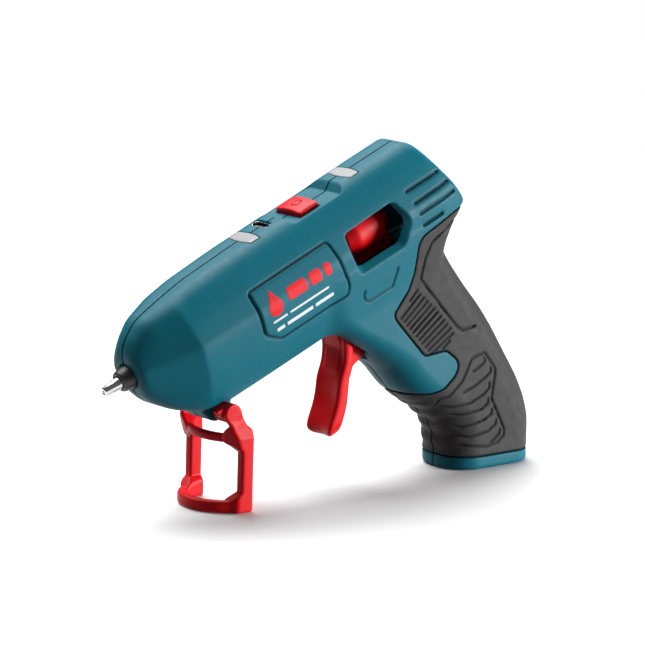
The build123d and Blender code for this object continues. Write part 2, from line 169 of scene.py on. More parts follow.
# --- meshes --------------------------------------------------------------------------------
def mesh_object(name, points, faces, smooth=True):
    """Mesh object from an array of frame points and an array of faces."""
    mesh = bpy.data.meshes.new(name)
    mesh.vertices.add(len(points))
    mesh.vertices.foreach_set("co", np.asarray(points, np.float32).ravel())
    mesh.loops.add(faces.size)
    mesh.loops.foreach_set("vertex_index", faces.astype(np.int32).ravel())
    mesh.polygons.add(len(faces))
    mesh.polygons.foreach_set("loop_start", np.arange(0, faces.size, faces.shape[1], dtype=np.int32))
    mesh.polygons.foreach_set("use_smooth", np.full(len(faces), smooth))
    mesh.update(calc_edges=True)
    obj = bpy.data.objects.new(name, mesh)
    bpy.context.scene.collection.objects.link(obj)
    return obj


def signed_volume(points, quads):
    a, b, c, d = (points[quads[:, i]] for i in range(4))
    return (np.einsum("ij,ij->i", a, np.cross(b, c)) + np.einsum("ij,ij->i", a, np.cross(c, d))).sum()


def largest_shells(points, quads, least=150):
    """Quads of every shell of at least so many corners, without specks."""
    label = np.arange(len(points))
    edges = np.concatenate([quads[:, [i, (i + 1) % 4]] for i in range(4)])
    while True:
        low = np.minimum(label[edges[:, 0]], label[edges[:, 1]])
        new = label.copy()
        np.minimum.at(new, edges[:, 0], low)
        np.minimum.at(new, edges[:, 1], low)
        new = new[new]
        if (new == label).all():
            break
        label = new
    keep = np.bincount(label, minlength=len(points))[label] >= least
    index = np.cumsum(keep) - 1
    return points[keep], index[quads[keep[quads[:, 0]]]]


class Points:
    """Mesh points, in the place of a grid, to work out a mark at each of them."""

    def __init__(self, points):
        self.x, self.y, self.z = points.T


def field_mesh(name, grid, values, mirror=False, place=to_frame, shade=None):
    """Mesh of a field's surface. shade gives each point's groove mark, 0 to 1, for its material."""
    band = 3 * grid.step
    volume = openvdb.FloatGrid(band)
    volume.copyFromArray(np.ascontiguousarray(np.clip(values, -band, band), dtype=np.float32))
    points, quads = volume.convertToQuads(0.0)
    points, quads = largest_shells(np.array(points, float), np.array(quads))
    points = points * grid.step + grid.low
    marks = np.zeros(len(points)) if shade is None else np.clip(shade(Points(points)), 0, 1)
    if mirror:
        points = points * np.array([1, -1, 1])
    points = place(points)
    if signed_volume(points, quads) < 0:
        quads = quads[:, ::-1]
    obj = mesh_object(name, points, quads)
    # The groove attribute carries painted shade for grooves and joints.
    layer = obj.data.attributes.new("groove", "FLOAT", "POINT")
    layer.data.foreach_set("value", marks.astype(np.float32))
    return obj


def lathe(name, rings):
    """Solid turned about the feed axis from a closed list of (x, radius) rings."""
    turns, count = 72, len(rings)
    angle = np.linspace(0, 2 * pi, turns, endpoint=False)
    points = [(x, r * cos(a), r * sin(a)) for x, r in rings for a in angle]
    faces = [[i * turns + j, i * turns + (j + 1) % turns,
              (i + 1) % count * turns + (j + 1) % turns, (i + 1) % count * turns + j]
             for i in range(count) for j in range(turns)]
    points, faces = to_frame(points), np.array(faces)
    if signed_volume(points, faces) < 0:
        faces = faces[:, ::-1]
    return mesh_object(name, points, faces)


def finish_piece(obj, body, slot, material, *nodes):
    """Give a piece its body, finish and the CAD nodes that it stands for."""
    obj.data.materials.append(material)
    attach(obj, body)
    if nodes:
        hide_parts(*nodes)
    return obj


# --- materials -----------------------------------------------------------------------------
NOISE_SPAN = (0.3, 0.7)                 # where most of a noise texture's values lie


def shade_tree(name):
    """New node material, with its nodes, links and surface shader."""
    material = bpy.data.materials.new(name)
    material.use_nodes = True
    nodes, links = material.node_tree.nodes, material.node_tree.links
    return material, nodes, links, nodes["Principled BSDF"]


def noise(nodes, links, scale, detail, stretch=(1, 1, 1)):
    """Noise value fixed to the piece."""
    where = nodes.new("ShaderNodeTexCoord")
    mapping = nodes.new("ShaderNodeMapping")
    mapping.inputs["Scale"].default_value = stretch
    links.new(where.outputs["Object"], mapping.inputs["Vector"])
    texture = nodes.new("ShaderNodeTexNoise")
    texture.inputs["Scale"].default_value = scale
    texture.inputs["Detail"].default_value = detail
    links.new(mapping.outputs["Vector"], texture.inputs["Vector"])
    return texture.outputs["Fac"]


def ramp(nodes, links, value, low, high):
    """Colour between two colours as a noise value rises."""
    blend = nodes.new("ShaderNodeValToRGB")
    blend.color_ramp.elements[0].position, blend.color_ramp.elements[1].position = NOISE_SPAN
    blend.color_ramp.elements[0].color = (*low, 1)
    blend.color_ramp.elements[1].color = (*high, 1)
    links.new(value, blend.inputs["Fac"])
    return blend.outputs["Color"]


def spread(nodes, links, value, low, high):
    """Number between two limits as a noise value rises."""
    span = nodes.new("ShaderNodeMapRange")
    span.inputs["From Min"].default_value, span.inputs["From Max"].default_value = NOISE_SPAN
    span.inputs["To Min"].default_value = low
    span.inputs["To Max"].default_value = high
    links.new(value, span.inputs["Value"])
    return span.outputs["Result"]


def linear(*screen):
    """Screen colour, red, green and blue from 0 to 255, as linear light."""
    return tuple((c / 255 / 12.92) if c <= 10 else ((c / 255 + 0.055) / 1.055) ** 2.4 for c in screen)


def finish_material(name, light, dark, rough, grain=9000.0, bump=0.15, metal=0.0, stretch=(1, 1, 1),
                    groove_shade_colour=None, **sockets):
    """Surface with soft colour and gloss variation, a fine moulded or drawn grain, and painted shade in its
    grooves.
    """
    material, nodes, links, surface = shade_tree(name)
    cloud = noise(nodes, links, 45.0, 4.0)
    colour = ramp(nodes, links, cloud, dark, light)
    # Painted shade: the groove attribute darkens the colour towards the line colour in grooves and joints.
    if groove_shade_colour:
        mark = nodes.new("ShaderNodeAttribute")
        mark.attribute_name = "groove"
        mix = nodes.new("ShaderNodeMix")
        mix.data_type = "RGBA"
        links.new(mark.outputs["Fac"], mix.inputs["Factor"])
        links.new(colour, mix.inputs[6])
        mix.inputs[7].default_value = (*groove_shade_colour, 1)
        colour = mix.outputs[2]
    links.new(colour, surface.inputs["Base Color"])
    fine = noise(nodes, links, grain, 2.0, stretch)
    worn = spread(nodes, links, noise(nodes, links, 300.0, 3.0, stretch), *rough)
    links.new(worn, surface.inputs["Roughness"])
    relief = nodes.new("ShaderNodeBump")
    relief.inputs["Strength"].default_value = bump
    relief.inputs["Distance"].default_value = 0.0001
    links.new(fine, relief.inputs["Height"])
    links.new(relief.outputs["Normal"], surface.inputs["Normal"])
    surface.inputs["Metallic"].default_value = metal
    for socket, value in sockets.items():
        surface.inputs[socket.replace("_", " ")].default_value = value
    return material


# The last colour of the teal, rubber and red finishes is painted shade for their grooves and joints.
TEAL = finish_material("teal_moulding", linear(2, 104, 121), linear(2, 99, 116), (0.46, 0.56), 6500.0, 0.12,
                       Specular_IOR_Level=0.2,
                       groove_shade_colour=linear(1, 46, 55))
RUBBER = finish_material("grip_rubber", linear(60, 60, 60), linear(55, 55, 56), (0.55, 0.68), 4000.0, 0.3,
                         Specular_IOR_Level=0.2,
                         groove_shade_colour=linear(16, 16, 17))
RED = finish_material("red_moulding", linear(232, 6, 22), linear(224, 4, 18), (0.40, 0.50), 6000.0, 0.06,
                      Specular_IOR_Level=0.2,
                      groove_shade_colour=linear(120, 4, 12))
CHROME = finish_material("polished_steel", (0.72, 0.72, 0.74), (0.62, 0.62, 0.64), (0.10, 0.22), 2500.0,
                         0.05, metal=1.0, stretch=(1, 8, 8))
SPRING = finish_material("spring_steel", (0.5, 0.5, 0.52), (0.38, 0.38, 0.4), (0.25, 0.4), 3000.0, 0.1,
                         metal=1.0)
BLACK = finish_material("black_plastic", (0.018, 0.018, 0.019), (0.012, 0.012, 0.013), (0.38, 0.5),
                        6000.0, 0.15)
CAST = finish_material("cast_aluminium", (0.52, 0.52, 0.53), (0.4, 0.4, 0.41), (0.35, 0.55), 1800.0, 0.35,
                       metal=1.0)
SILICONE = finish_material("silicone_sleeve", linear(178, 60, 48), linear(160, 52, 42), (0.5, 0.62),
                           3000.0, 0.2)
LENS = finish_material("frosted_lens", linear(158, 156, 158), linear(146, 144, 146), (0.42, 0.58),
                       1600.0, 0.8, Subsurface_Weight=0.15)
BOARD = finish_material("solder_mask", linear(18, 74, 48), linear(14, 60, 40), (0.3, 0.45), 2200.0, 0.2)
CELL = finish_material("cell_wrap", linear(40, 92, 168), linear(34, 82, 152), (0.3, 0.4), 2500.0, 0.1)
WIRE = finish_material("wire_sleeve", linear(168, 28, 30), linear(146, 22, 24), (0.35, 0.5), 3500.0, 0.15)
INK_RED = finish_material("red_ink", linear(236, 22, 36), linear(228, 18, 30), (0.5, 0.6), 5000.0, 0.1,
                          Specular_IOR_Level=0.2)
INK_WHITE = finish_material("white_ink", linear(226, 234, 236), linear(214, 224, 228), (0.4, 0.5),
                            5000.0, 0.1)

SLOT_MATERIALS = {"teal_shell": TEAL, "grip_rubber": RUBBER, "red_plastic": RED, "bright_steel": CHROME,
                  "spring_steel": SPRING, "black_plastic": BLACK, "chamber_metal": CAST, "silicone": SILICONE,
                  "lamp_lens": LENS, "board": BOARD, "cell": CELL, "wire": WIRE}

for part in frame["record"]["subparts"]:
    node = frame["nodes"][part["node"]]
    for slot in node.material_slots:
        slot.material = SLOT_MATERIALS[part["material_slot"]]


# --- body form -----------------------------------------------------------------------------
BARREL_SIDE = rounded([(11.4, -6), (14.5, -12), (21.5, -18.5), (30, -23.5), (40, -25.8), (112, -25.8),
                       (146, -19), (157.5, -9.6), (162.4, -6.2), (151, 22.9), (131, 22.7), (66, 21.8),
                       (44, 20.9), (33, 19.4), (21.4, 17.4), (14.5, 12.8), (11.4, 7.5)], 3.0)
BARREL_TOP = [(11.4, 8.5), (14.5, 12.8), (21.4, 17.4), (33, 19.4), (44, 20.9), (66, 21.8), (131, 22.7),
              (150, 22.9)]
BARREL_BOTTOM = [(11.4, -7), (14.5, -12), (21.5, -18.5), (30, -23.5), (40, -25.8)]
BARREL_WIDTH = [(-27, 9.0), (-25.8, 9.8), (-21, 12.8), (-15, 15.6), (-9, 17.4), (-4, 18.4), (0.5, 19),
                (3.5, 18.9), (6, 18), (9.2, 16.8), (12.6, 15.4), (15.8, 13.7), (19.1, 11.4), (20.9, 9.7),
                (22.4, 7.9), (24, 5.5)]
BARREL_TAPER = [(11.4, 0.43), (33.2, 0.955), (60, 1.0), (151, 1.0), (162, 0.93)]
WIDEST_Z, TOP_Z, BOTTOM_Z = 2.0, 22.9, -25.8
# handle stations: z, front x, rear x, half width, corner radius
HANDLE = [(-8, 92, 152.5, 15.5, 7), (-15, 91, 151.2, 15.2, 7.5), (-22, 91, 150.6, 14.6, 8),
          (-30, 95.5, 153.2, 14.2, 9), (-41, 103.4, 157.6, 13.8, 11), (-52, 110.5, 162, 13.6, 12),
          (-62, 113.9, 164.7, 13.8, 12.5), (-70, 118, 166.3, 14, 13), (-76, 123, 167.4, 14.1, 13),
          (-86, 128.2, 169.3, 14.2, 13),
          (-95, 127, 170, 14.2, 13), (-103, 124, 169.4, 14, 13), (-122, 116, 161.5, 14, 13)]
WALL, RUBBER_DEEP, JOINT_GAP = 2.2, 1.5, 0.18
BODY_STEP = 0.38                        # grid pitch of the housing, mm
FOOT_RING = 5.0                         # bare ring at the bottom of the handle
HALF_GAP = 0.05                         # between the parting plane and each half


def height_above_floor(grid):
    """Height over the level foot, mm."""
    return grid.x * sin(NOSE_DOWN) + grid.z * cos(NOSE_DOWN) + SHIFT_Z


def barrel_field(grid):
    """Barrel: a measured half width at each height, scaled to the side outline's top and bottom."""
    top = profile(grid.x, BARREL_TOP, 1.5)
    bottom = profile(grid.x, BARREL_BOTTOM, 1.5)
    above = WIDEST_Z + (grid.z - WIDEST_Z) * (TOP_Z - WIDEST_Z) / (top - WIDEST_Z)
    below = WIDEST_Z + (grid.z - WIDEST_Z) * (WIDEST_Z - BOTTOM_Z) / (WIDEST_Z - bottom)
    half = profile(np.where(grid.z > WIDEST_Z, above, below), BARREL_WIDTH, 0.7)
    half = half * profile(grid.x, BARREL_TAPER, 0.5)
    side = outline_distance(grid.x, grid.z, BARREL_SIDE).astype(np.float32)
    return high_of(side, (np.abs(grid.y) - half) * 0.88, 2.4)


def handle_field(grid):
    """Handle: rounded sections whose limits follow the measured outline."""
    front, rear, half, corner = (profile(grid.z, [(row[0], row[k]) for row in HANDLE], 2.0)
                                 for k in (1, 2, 3, 4))
    out = np.abs(grid.y) - (half - corner)
    across = np.abs(grid.x - (front + rear) / 2) - ((rear - front) / 2 - corner)
    ring = np.sqrt(np.maximum(across, 0) ** 2 + np.maximum(out, 0) ** 2)
    section = ring + np.minimum(np.maximum(across, out), 0) - corner
    return np.maximum(section * 0.95, grid.z + 8)


RECESS = rounded([(90.5, -9.2), (116, -9.2), (120, -3), (120, 3), (116, 9.2), (90.5, 9.2)], 2.5)
RECESS_Z = 19.9
WINDOW = rounded([(106, 9.0), (129.7, 9.7), (131.1, 2.8), (126.8, -4.8), (107.2, -4.3)], 1.4)
WINDOW_BEVEL = rounded([(103.3, 10.4), (131.9, 11.3), (134.3, -1.0), (129.0, -8.5), (106, -8.5)], 2.2)
TRIGGER_SLOT = [(87, -20), (113, -20), (116, -34), (114.5, -45.5), (104, -45.5), (104, -70), (87, -70)]
PAD = rounded([(58.9, 10.4), (97.4, 10.8), (100.1, -8.2), (98.6, -11.7), (66, -11.8), (59.4, -6.7)], 1.8)
L_LINE = [(123.5, -14.0), (119.7, -20.0), (107.6, -19.8), (105.9, -18.2), (105.7, -16.2), (106.5, -14.7)]
REAR_RIBS = [[(137.4, 10.1), (153.4, 10.1)], [(138.3, 5.1), (155.4, 5.4)],
             [(138.9, 0.6), (156.6, 0.8)], [(139.3, -4.4), (148.6, -4.4)]]
RUBBER_OUTLINE = rounded([(180, -6.5), (148, -7.4), (137.5, -8.3), (135, -10.4), (131, -20.5), (127.2, -25.6),
                          (117.8, -31), (117.8, -33.4), (125.7, -53.4), (135.7, -56.5), (139.1, -62.2),
                          (138.9, -65.4), (135.9, -67.9), (129.1, -69.8), (123.8, -69.2), (117.3, -66.1),
                          (108, -60), (95, -60), (95, -160), (180, -160)], 1.6)
GRIP_EDGE = [(155, -10.2), (141.0, -12.9), (137.2, -17.4), (133.5, -24.7), (143.5, -50.5), (145.4, -53.2),
             (151.9, -55)]
GRIP_CONTOUR = [(151.9, -55), (156.1, -63.4), (156.9, -73), (159.8, -86), (159.1, -97)]
GRIP_BARS = [((126.2, -29.9), (130.7, -27.8)), ((120.2, -34.0), (131.3, -30.0)),
             ((121.0, -36.1), (132.6, -32.1)), ((121.9, -38.1), (133.7, -34.2)),
             ((122.8, -40.1), (134.8, -36.3)), ((123.6, -42.1), (135.9, -38.5)),
             ((124.4, -44.1), (136.9, -40.7)), ((125.2, -46.1), (137.8, -42.9)),
             ((126.1, -48.1), (138.7, -45.1)), ((127.0, -50.1), (139.6, -47.3)),
             ((127.9, -52.1), (140.4, -49.6)), ((128.8, -54.0), (140.9, -52.0)),
             ((134.2, -54.9), (138.5, -53.9))]
PANEL = [(127.1, -73.2), (130.6, -73.7), (138.7, -71.2), (145.1, -66.0), (147.1, -65.6), (152.0, -66.7),
         (154.7, -74.8), (153.8, -76.8), (148.9, -84.8), (150.4, -99.4), (149.4, -101.6), (145.7, -102.6),
         (140.1, -101.2), (126.9, -93.8), (117.6, -86.7)]
WAVES = [[(151.3, -68.1), (151.2, -69.6), (149.5, -70.3), (144.5, -70.6)],
         [(152.8, -73.4), (152.0, -75.0), (149.5, -75.6), (143, -76.2), (137.4, -75.7)],
         [(150.1, -78.7), (149.3, -80.5), (146, -81.4), (139.1, -81.3), (132, -79.4), (127.3, -76.9)],
         [(147.5, -84.0), (146.6, -85.7), (143, -86.3), (134.3, -84.1), (125.0, -79.2)],
         [(147.7, -88.8), (146.8, -90.4), (143, -90.9), (133.2, -89.0), (127.3, -85.3)],
         [(148.3, -93.8), (147.0, -95.4), (143, -96.0), (134.4, -93.9), (128.3, -90.3)],
         [(148.7, -98.2), (147.4, -99.9), (142.4, -101.0)]]
LUG = rounded([(29, -20), (48, -20), (42.7, -30.3), (38.4, -31.8), (34.0, -30.3)], 2.5)
SCREWS = [(50, -20.0), (76, -20.0), (146, 13.5), (118, -52), (153, -50), (133, -95)]
SCREW_SEAT = 6.0                        # y where the screw heads bear
SCREW_POST_R, HEAD_HOLE_R, SCREW_HOLE_R = 4.2, 3.1, 1.45
PAD_RISE = 0.3                          # of the label pad over the shell
WINDOW_Y, WINDOW_BEVEL_DEEP = 18.8, 3.4
LENS_AT = {"front_lens": 75.0, "rear_lens": 124.4}
LENS_LONG, LENS_HALF = 5.4, 6.5
BUTTON_X = 100.8
USB_X, USB_Y = 84.8, 1.8
PIVOT = (102.0, -27.0)                  # trigger pin
STAND_PIN = (38.4, -27.7)
PIN_R, RUN_CLEAR = 1.5, 0.05
FLANGE_SLOT_END = 105.8                 # the wide part of the trigger slot stops at this x
FLANGE_SLOT_HALF, ARM_SLOT_HALF = 8.2, 5.1
COLLAR_HOLE_R, INLET_HOLE_R, INLET_SEAT_R = 4.75, 5.6, 8.2


def body_field(grid):
    """Barrel and handle blended, standing on the flat foot."""
    form = low_of(barrel_field(grid), handle_field(grid), 5.0)
    return high_of(form, -height_above_floor(grid), 1.6)


def recess_field(grid):
    """Flat floored recess round the button, its floor rising at the back."""
    floor = RECESS_Z + 4.0 * np.clip((grid.x - 114.5) / 5.0, 0, 1)
    return high_of(outline_distance(grid.x, grid.y, RECESS).astype(np.float32), floor - grid.z, 0.8)


def lens_field(grid, x, gap):
    """Pocket of one lamp lens in the spine, with bowed ends."""
    bow = 0.9 * (1 - (grid.y / LENS_HALF) ** 2)
    return np.maximum(np.abs(grid.x - x) - LENS_LONG / 2 - gap - bow + 0.6, np.abs(grid.y) - LENS_HALF - gap)


def line_marks(grid, lines):
    """Distance to the nearest of several engraved lines, seen from the side."""
    return np.minimum.reduce([line_distance(grid.x, grid.z, points) for points in lines])


def rubber_region(grid):
    """Negative where the overmould covers the handle."""
    region = outline_distance(grid.x, grid.z, RUBBER_OUTLINE).astype(np.float32)
    region = high_of(region, FOOT_RING - height_above_floor(grid), 0.5)
    # bare strip down the lower back
    spine = high_of(np.abs(grid.y) - 3.0, np.maximum(150 - grid.x, grid.z + 72), 1.0)
    return cut(region, spine, 0.5)


def teal_grooves(at):
    """Depth of the lines engraved in the shell."""
    depth = groove(line_distance(at.x, at.z, L_LINE), 0.45, 0.6)
    depth = np.maximum(depth, groove(line_marks(at, REAR_RIBS), 0.6, 0.9))
    return np.maximum(depth, groove(outline_distance(at.x, at.z, PAD), 0.45, 0.75))


def grip_grooves(at):
    """Depth of the lines engraved in the rubber."""
    depth = groove(np.minimum(line_marks(at, GRIP_BARS), line_distance(at.x, at.z, GRIP_EDGE)), 0.45, 0.65)
    panel = groove(line_marks(at, [PANEL + PANEL[:1], *WAVES]), 0.45, 0.6)
    return np.maximum(depth, panel * eased((np.abs(at.y) - 8.0) / 3.5))


def finger_ripples(at):
    """Soft ripples across the front of the handle."""
    span = eased((-70 - at.z) / 4) * eased((at.z + 103) / 4) * eased((148 - at.x) / 10)
    return 0.4 * np.sin(at.z * 2 * pi / 6.6) * span * (1 - eased((np.abs(at.y) - 7.0) / 6.0))


def teal_painted_shade(at):
    """Painted shade in the shell's engraved lines, the parting line and the joint with the rubber, 0 to 1."""
    mark = np.maximum(teal_grooves(at) * 1.3, groove(at.y, 0.35, 1.0))
    return np.maximum(mark, groove(rubber_region(at), 0.45, 1.0))


def grip_painted_shade(at):
    """Painted shade in the rubber's engraved lines, the parting line and the joint with the shell, 0 to 1."""
    mark = np.maximum(grip_grooves(at) * 1.6, groove(at.y, 0.35, 1.0))
    return np.maximum(mark, groove(rubber_region(at), 0.45, 1.0))


def pin_distance(grid, pin):
    """Distance from the axis of a cross pin given by its x and z."""
    return np.sqrt((grid.x - pin[0]) ** 2 + (grid.z - pin[1]) ** 2)


def hollow_shell(grid, body, inner, rubber_zone):
    """Grooved shell with its raised pad, bevelled window, ledge under the rubber and button recess."""
    out = np.abs(grid.y)
    side_wall = eased((out - 5.0) / 3.0)
    pad = outline_distance(grid.x, grid.z, PAD)
    shell = body + teal_grooves(grid) * side_wall - PAD_RISE * eased(-pad / 0.8) * side_wall

    t = np.clip((WINDOW_Y - out) / WINDOW_BEVEL_DEEP, 0, 1)
    opening = ((1 - t) * outline_distance(grid.x, grid.z, WINDOW_BEVEL)
               + t * outline_distance(grid.x, grid.z, WINDOW))
    shell = cut(shell, np.maximum(opening, 9.5 - out), 0.5)
    shell = cut(shell, np.maximum(rubber_zone - JOINT_GAP, -(body + RUBBER_DEEP)), 0.5)
    shell = cut(shell, inner)

    plate = box_distance(grid, (88.5, 122), (-10.5, 10.5), (RECESS_Z - 2.0, RECESS_Z + 2.0))
    return cut(low_of(shell, np.maximum(plate, body + 0.8)), recess_field(grid), 0.6)


def cut_openings(shell, grid, side):
    """Take out the collar hole, stick inlet, trigger slot, button, lens and socket openings."""
    out = np.abs(grid.y)
    radius = np.sqrt(grid.y ** 2 + grid.z ** 2)
    shell = cut(shell, np.maximum(radius - COLLAR_HOLE_R, grid.x - 20), 0.3)
    shell = cut(shell, np.maximum(radius - INLET_HOLE_R, 147 - grid.x), 0.4)
    shell = cut(shell, np.maximum(radius - INLET_SEAT_R, 152.2 - grid.x), 0.6)
    slot_side = outline_distance(grid.x, grid.z, TRIGGER_SLOT)
    flange_slot = np.maximum(slot_side, grid.x - FLANGE_SLOT_END)
    shell = cut(shell, high_of(flange_slot, out - FLANGE_SLOT_HALF, 0.5), 0.8)
    shell = cut(shell, high_of(slot_side, out - ARM_SLOT_HALF, 0.5), 0.5)
    shell = cut(shell, box_distance(grid, (95.9, 105.7), (-7.25, 7.25), (15, 30), 0.4), 0.3)
    for x in LENS_AT.values():
        shell = cut(shell, np.maximum(lens_field(grid, x, 0.08), 15 - grid.z), 0.2)
    usb = box_distance(grid, (USB_X - 1.8, USB_X + 1.8), (side * USB_Y - 4.6, side * USB_Y + 4.6),
                       (15, 30), 1.4)
    return cut(shell, usb, 0.5)


def add_pin_seats(shell, grid, body, inner):
    """Hinge lug of the stand and post of the trigger pin, with their holes."""
    out = np.abs(grid.y)
    lug = high_of(outline_distance(grid.x, grid.z, LUG), out - 6.7, 0.8)
    shell = low_of(shell, np.maximum(lug, -(inner - 0.2)), 1.0)
    pin = pin_distance(grid, STAND_PIN)
    shell = cut(shell, np.maximum(pin - 4.4, 6.9 - out), 0.4)
    shell = cut(shell, np.maximum(pin - PIN_R, out - 9))
    post = pin_distance(grid, PIVOT)
    shell = low_of(shell, np.maximum(np.maximum(post - 3.4, 5.0 - out), body + 1.0))
    return cut(shell, np.maximum(post - PIN_R, out - 11))


def add_screw_seats(shell, rubber, grid, body, side):
    """Screw posts. The heads sink in from the right, through the rubber where it is there."""
    for screw in SCREWS:
        away = pin_distance(grid, screw)
        if side > 0:
            shell = low_of(shell, np.maximum(away - SCREW_POST_R, body + 1.0))
            shell = cut(shell, np.maximum(away - HEAD_HOLE_R, SCREW_SEAT - grid.y), 0.6)
            rubber = cut(rubber, np.maximum(away - HEAD_HOLE_R, 1 - grid.y), 0.6)
        else:
            shell = low_of(shell, np.maximum(away - 3.3, body + 1.0))
        shell = cut(shell, np.maximum(away - SCREW_HOLE_R, grid.y - 7))
    return shell, rubber


def side_pieces(side):
    """Shell and rubber of one side. y is measured outward from the parting plane."""
    grid = Grid((8.0, -1.2, -125.0), (174.0, 20.6, 24.6), BODY_STEP)
    body = body_field(grid)
    rubber_zone = rubber_region(grid)
    inner = low_of(barrel_field(grid) + WALL, handle_field(grid) + WALL + RUBBER_DEEP, 2.0)
    inner = high_of(inner, WALL - height_above_floor(grid))

    shell = hollow_shell(grid, body, inner, rubber_zone)
    shell = cut_openings(shell, grid, side)
    shell = add_pin_seats(shell, grid, body, inner)

    contour = groove(line_distance(grid.x, grid.z, GRIP_CONTOUR), 1.2, 0.28)
    rubber = np.maximum(body, -(body + RUBBER_DEEP))
    rubber = rubber + grip_grooves(grid) + finger_ripples(grid) + contour
    rubber = high_of(rubber, rubber_zone + JOINT_GAP, 0.7)

    shell, rubber = add_screw_seats(shell, rubber, grid, body, side)
    shell = high_of(shell, HALF_GAP - grid.y, 0.5)
    rubber = high_of(rubber, HALF_GAP - grid.y, 0.5)
    name = "right" if side > 0 else "left"
    piece = field_mesh(f"{name}_shell", grid, shell, mirror=side < 0, shade=teal_painted_shade)
    finish_piece(piece, "gun_body", "teal_shell", TEAL, f"{name}_housing")
    piece = field_mesh(f"{name}_rubber", grid, rubber, mirror=side < 0, shade=grip_painted_shade)
    finish_piece(piece, "gun_body", "grip_rubber", RUBBER, f"{name}_grip")


for side in (-1, 1):
    side_pieces(side)


# --- pieces in the spine --------------------------------------------------------------------
def lens_piece(name, x):
    """Lamp lens that follows the spine's surface."""
    grid = Grid((x - 4.5, -8.0, 15.5), (x + 4.5, 8.0, 24.5), 0.22)
    lens = high_of(body_field(grid) - 0.12, lens_field(grid, x, -0.05), 0.5)
    lens = np.maximum(lens, 17.0 - grid.z)
    finish_piece(field_mesh(f"{name}_cap", grid, lens), "gun_body", "lamp_lens", LENS, name)


for lens_name, lens_x in LENS_AT.items():
    lens_piece(lens_name, lens_x)


def button_ring(at, depth):
    """Ring engraved in the button."""
    return groove(np.sqrt((at.x - BUTTON_X) ** 2 + at.y ** 2) - 1.9, 0.28, depth)


def button_piece():
    """Power button with a crowned top and a plain ring on it."""
    grid = Grid((95.2, -8.0, 16.0), (106.4, 8.0, 23.6), 0.22)
    top = 22.5 - 0.9 * (grid.y / 7.0) ** 2 - 0.25 * ((grid.x - BUTTON_X) / 4.6) ** 2
    cap = box_distance(grid, (96.2, 105.4), (-7.0, 7.0), (17.2, 26), 0.8)
    cap = high_of(cap, grid.z - top, 0.7)
    stem = box_distance(grid, (99.3, 102.3), (-1.5, 1.5), (16.8, 18))
    cap = low_of(cap + button_ring(grid, 0.35), stem)
    # Painted shade darkens the button's engraved ring.
    piece = field_mesh("button_cap", grid, cap, shade=lambda at: button_ring(at, 0.9))
    finish_piece(piece, "button", "red_plastic", RED, "power_button")


button_piece()


def usb_piece():
    """Metal ring of the charging socket."""
    grid = Grid((82.0, -4.6, 13.0), (87.6, 8.2, 23.4), 0.2)
    ring = box_distance(grid, (USB_X - 1.75, USB_X + 1.75), (USB_Y - 4.55, USB_Y + 4.55), (14.05, 21.95), 1.3)
    inside = box_distance(grid, (USB_X - 1.3, USB_X + 1.3), (USB_Y - 4.1, USB_Y + 4.1), (14.7, 30), 1.2)
    piece = field_mesh("usb_ring", grid, cut(ring, inside, 0.15))
    finish_piece(piece, "gun_body", "bright_steel", CHROME, "usb_shell")


usb_piece()


def screw_piece(name, x, z):
    """Self tapping screw with a domed head and a cross recess, its point to the left."""
    grid = Grid((x - 3.2, -6.4, z - 3.2), (x + 3.2, 9.0, z + 3.2), 0.2)
    away = pin_distance(grid, (x, z))
    dome = grid.y - SCREW_SEAT - 2.2 + 0.08 * away ** 2
    head = high_of(away - 2.7, np.maximum(SCREW_SEAT - grid.y, dome), 0.4)
    thread = 1.28 - 0.12 * np.cos(2 * pi * grid.y / 1.3)
    shank = np.maximum(away - thread, np.maximum(-5.4 - grid.y, grid.y - SCREW_SEAT - 0.5))
    arms = np.minimum(np.maximum(np.abs(grid.x - x) - 0.35, np.abs(grid.z - z) - 1.5),
                      np.maximum(np.abs(grid.z - z) - 0.35, np.abs(grid.x - x) - 1.5))
    screw = cut(low_of(head, shank, 0.3), np.maximum(arms, SCREW_SEAT + 1.0 - grid.y), 0.2)
    finish_piece(field_mesh(name, grid, screw), "gun_body", "bright_steel", CHROME, "housing_screws")


for number, (screw_x, screw_z) in enumerate(SCREWS, 1):
    screw_piece(f"housing_screw_{number}", screw_x, screw_z)


# --- trigger, carriage and stand -----------------------------------------------------------------
FLANGE = rounded([(98.2, -30.6), (97.2, -36), (94.8, -41), (90.2, -46), (87.6, -51), (84.6, -55),
                  (80.4, -59.2), (78.8, -62), (80.0, -65), (83, -65.3), (87.2, -60.6), (91, -56),
                  (93.6, -51), (96.2, -46), (99.6, -41.5), (101.5, -36.4), (102.2, -33.2)], 2.2, 2)
WEB = rounded([(98, -27), (106, -27), (108.5, -36), (106.2, -43.9), (100.2, -45.2), (98.0, -48.0),
               (94.5, -51.1), (90, -50.5), (93, -43), (97.5, -36)], 0.8, 2)
ARM_LENGTH, HALF_SWING = 18.5, radians(10)


